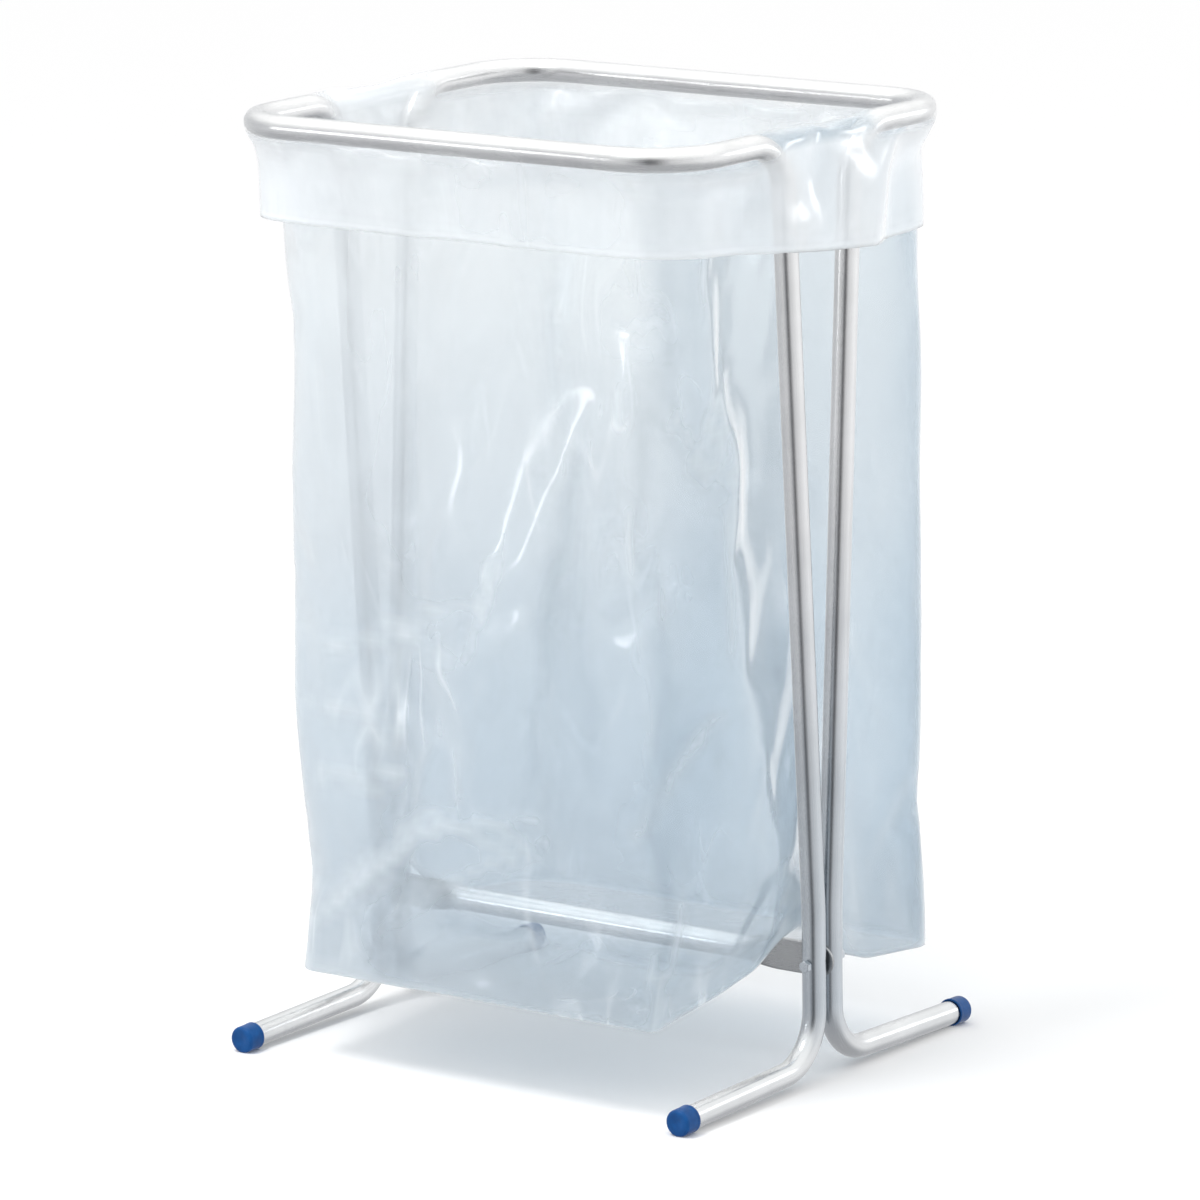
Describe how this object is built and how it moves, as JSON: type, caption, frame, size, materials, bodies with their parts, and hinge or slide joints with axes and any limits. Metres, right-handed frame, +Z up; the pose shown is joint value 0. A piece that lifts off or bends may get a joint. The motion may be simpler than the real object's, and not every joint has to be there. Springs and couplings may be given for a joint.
{
  "type": "plastic bag holder",
  "caption": "Free-standing sack stand: bent zinc-plated tube frames bolted through a flat-ended crossbar, blue foot caps, clear sack folded over the rim.",
  "frame": {"origin": "on the floor, midway between the two sides, in the plane where the two frames meet", "axes": "+Z up, +X to the right as seen from the front, the front is at -Y"},
  "size_m": [0.5912, 0.5206, 0.9969],
  "materials": {
    "zinc_tube": "bright zinc plate over drawn steel tube",
    "zinc_fastener": "bright zinc plate",
    "blue_cap": "moulded polyethylene, satin",
    "clear_film": "thin clear polyethylene film, faintly blue, creased"
  },
  "bodies": {
    "clamp": {"crossbar": "zinc_tube", "clamp_bolt_left": "zinc_fastener", "clamp_bolt_right": "zinc_fastener", "clamp_nut_left": "zinc_fastener", "clamp_nut_right": "zinc_fastener"},
    "front_half": {"front_frame": "zinc_tube", "foot_cap_front_left": "blue_cap", "foot_cap_front_right": "blue_cap"},
    "back_half": {"back_frame": "zinc_tube", "foot_cap_back_left": "blue_cap", "foot_cap_back_right": "blue_cap"},
    "sack": {"sack": "clear_film"}
  },
  "joints": [
    {"name": "front_squeeze", "type": "hinge", "parent": "clamp", "child": "front_half", "pos_m": [0, -0.0149, 0.125], "axis": [-1, 0, 0], "range_deg": [0, 1.2], "stiffness_Nm_per_rad": 13000, "deforming": ["sack"]},
    {"name": "back_squeeze", "type": "hinge", "parent": "clamp", "child": "back_half", "pos_m": [0, 0.0149, 0.125], "axis": [1, 0, 0], "range_deg": [0, 1.2], "stiffness_Nm_per_rad": 13000},
    {"name": "sack_lift", "type": "slide", "parent": "clamp", "child": "sack", "axis": [0, 0, 1], "range_m": [0, 0.93]}
  ],
  "couplings": [
    {"joint": "back_squeeze", "follows": "front_squeeze", "ratio": 1}
  ]
}
